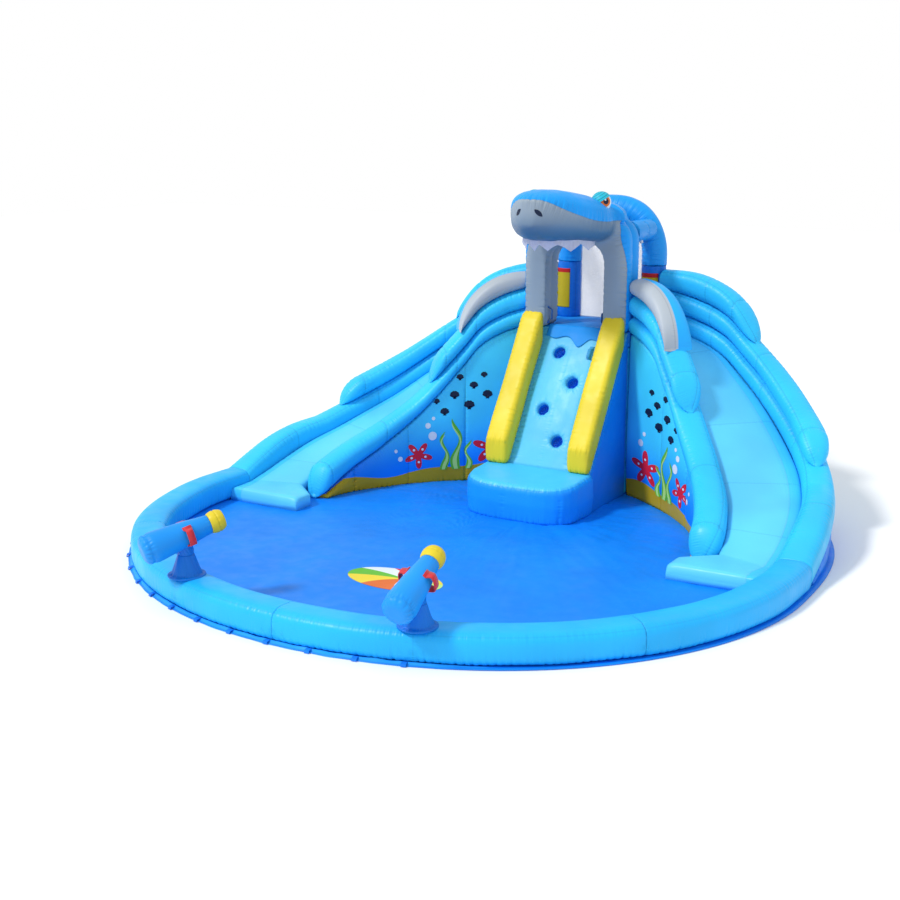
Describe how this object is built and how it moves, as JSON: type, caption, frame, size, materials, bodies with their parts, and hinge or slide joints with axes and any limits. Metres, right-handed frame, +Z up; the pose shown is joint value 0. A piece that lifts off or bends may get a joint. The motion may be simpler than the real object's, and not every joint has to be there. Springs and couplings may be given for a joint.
{
  "type": "inflatable water park",
  "caption": "Inflatable pool with two curved slides, a climbing wall, a deck under a shark's head, spray heads, and water cannons that swivel and tilt.",
  "frame": {"origin": "middle of the box that the park fills, on the ground", "axes": "+Z up, +Y from the pool towards the tower, +X to the right of someone at the pool's end who faces the tower"},
  "size_m": [4.9998, 4.9216, 2.4977],
  "materials": {
    "sky_vinyl": "light blue coated fabric, satin",
    "pale_vinyl": "pale cyan coated fabric, satin",
    "floor_vinyl": "mid blue coated fabric, satin",
    "deep_vinyl": "deep blue coated fabric, satin",
    "grey_vinyl": "blue-grey coated fabric, satin",
    "yellow_vinyl": "bright yellow coated fabric, satin",
    "teeth_fabric": "pale lavender fabric, matt",
    "net_fabric": "pale grey fine netting, matt",
    "red_strap": "red webbing, matt",
    "blue_strap": "dark blue webbing, matt",
    "fitting_plastic": "pale moulded plastic, satin"
  },
  "bodies": {
    "park": {"pool_floor": "floor_vinyl", "ring_side_right": "sky_vinyl", "ring_side_left": "sky_vinyl", "ring_front_right": "sky_vinyl", "ring_front_left": "sky_vinyl", "slide_body_right": "floor_vinyl", "slide_body_left": "floor_vinyl", "slide_bed_right": "pale_vinyl", "slide_bed_left": "pale_vinyl", "outer_tube_low_right": "sky_vinyl", "outer_tube_low_left": "sky_vinyl", "outer_tube_mid_right": "sky_vinyl", "outer_tube_mid_left": "sky_vinyl", "outer_tube_top_right": "sky_vinyl", "outer_tube_top_left": "sky_vinyl", "inner_tube_low_right": "sky_vinyl", "inner_tube_low_left": "sky_vinyl", "inner_tube_high_right": "sky_vinyl", "inner_tube_high_left": "sky_vinyl", "side_fin_right": "grey_vinyl", "side_fin_left": "grey_vinyl", "climbing_wall": "pale_vinyl", "climb_rail_right": "yellow_vinyl", "climb_rail_left": "yellow_vinyl", "landing_step": "pale_vinyl", "tower_core": "sky_vinyl", "deck": "pale_vinyl", "air_inlet_sleeve": "deep_vinyl", "arch_front": "grey_vinyl", "arch_rim": "sky_vinyl", "shark_head_top": "sky_vinyl", "shark_jaw": "grey_vinyl", "shark_eye_right": "sky_vinyl", "shark_eye_left": "sky_vinyl", "teeth_strip": "teeth_fabric", "rear_post_right": "deep_vinyl", "rear_post_left": "deep_vinyl", "rear_arch": "sky_vinyl", "back_net": "net_fabric", "side_beam_right": "sky_vinyl", "side_beam_left": "sky_vinyl", "spray_head_right": "fitting_plastic", "spray_head_left": "fitting_plastic", "leg_strap_right": "blue_strap", "leg_strap_left": "blue_strap", "wall_strap": "blue_strap", "cannon_stand_right": "deep_vinyl", "cannon_stand_left": "deep_vinyl"},
    "swivel_right": {"cannon_neck_right": "deep_vinyl"},
    "swivel_left": {"cannon_neck_left": "deep_vinyl"},
    "cannon_right": {"cannon_barrel_right": "sky_vinyl", "cannon_cap_right": "yellow_vinyl", "cannon_grip_right_outer": "red_strap", "cannon_grip_right_inner": "red_strap"},
    "cannon_left": {"cannon_barrel_left": "sky_vinyl", "cannon_cap_left": "yellow_vinyl", "cannon_grip_left_outer": "red_strap", "cannon_grip_left_inner": "red_strap"}
  },
  "joints": [
    {"name": "cannon_swivel_right", "type": "hinge", "parent": "park", "child": "swivel_right", "pos_m": [0.87, -2.1795, 0.345], "axis": [0, 0, 1], "range_deg": [-45, 35], "stiffness_Nm_per_rad": 2},
    {"name": "cannon_tilt_right", "type": "hinge", "parent": "swivel_right", "child": "cannon_right", "pos_m": [0.87, -2.1795, 0.475], "axis": [0.9962, 0.0872, 0], "range_deg": [-20, 5], "stiffness_Nm_per_rad": 3, "deforming": ["cannon_neck_right"]},
    {"name": "cannon_swivel_left", "type": "hinge", "parent": "park", "child": "swivel_left", "pos_m": [-0.87, -2.1795, 0.345], "axis": [0, 0, 1], "range_deg": [-10, 70], "stiffness_Nm_per_rad": 2},
    {"name": "cannon_tilt_left", "type": "hinge", "parent": "swivel_left", "child": "cannon_left", "pos_m": [-0.87, -2.1795, 0.475], "axis": [0.866, -0.5, 0], "range_deg": [-13, 12], "stiffness_Nm_per_rad": 3, "deforming": ["cannon_neck_left"]}
  ]
}
